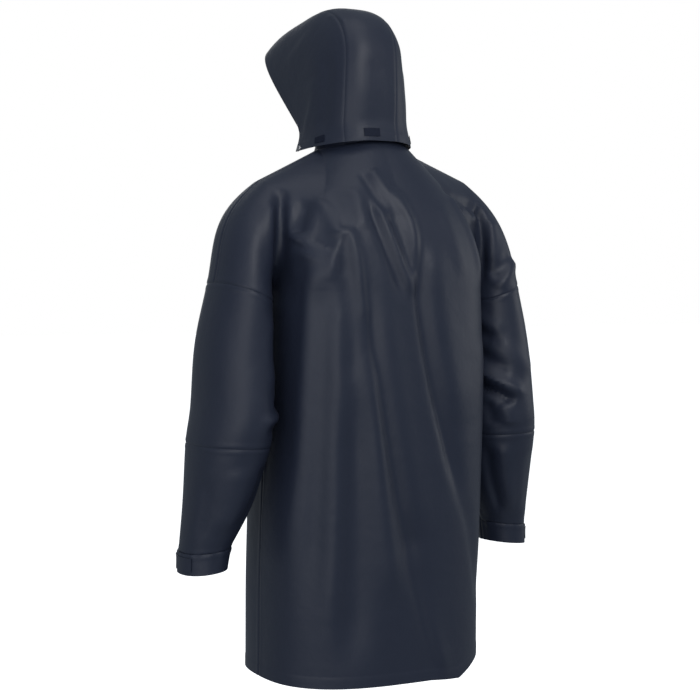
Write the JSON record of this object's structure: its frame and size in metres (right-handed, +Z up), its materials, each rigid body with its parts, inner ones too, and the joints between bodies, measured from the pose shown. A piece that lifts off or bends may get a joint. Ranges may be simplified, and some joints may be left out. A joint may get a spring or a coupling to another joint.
{
  "type": "hooded raincoat",
  "caption": "Knee-length hooded raincoat in coated knit, kept in its worn shape, with lapped back armholes, a three-panel hood, banded cuffs with snap tabs and a hidden front placket.",
  "frame": {"origin": "middle of the wearer's neck, level with the sides of the neck edge, where the coat is held up", "axes": "+Z up, -Y the wearer's front, +Y the wearer's back, +X the wearer's left"},
  "size_m": [0.7296, 0.434, 1.2347],
  "materials": {
    "coated_navy": "satin polyurethane coating on a knit",
    "trim_navy": "satin coated knit, cut as tabs and patches",
    "stud_metal": "dulled press-stud caps"
  },
  "bodies": {
    "root": {"back": "coated_navy", "collar": "coated_navy", "cuff_left": "coated_navy", "cuff_right": "coated_navy", "cuff_stud_left": "stud_metal", "cuff_stud_right": "stud_metal", "cuff_tab_left": "trim_navy", "cuff_tab_right": "trim_navy", "front_left": "coated_navy", "front_right": "coated_navy", "front_stud_1": "stud_metal", "front_stud_2": "stud_metal", "front_stud_3": "stud_metal", "front_stud_4": "stud_metal", "front_stud_5": "stud_metal", "front_stud_6": "stud_metal", "hood_centre": "coated_navy", "hood_left": "coated_navy", "hood_patch_centre": "trim_navy", "hood_patch_left": "trim_navy", "hood_patch_right": "trim_navy", "hood_right": "coated_navy", "hood_stud_left": "stud_metal", "hood_stud_right": "stud_metal", "placket": "coated_navy", "sleeve_lower_left": "coated_navy", "sleeve_lower_right": "coated_navy", "sleeve_mid_left": "coated_navy", "sleeve_mid_right": "coated_navy"}
  },
  "joints": []
}
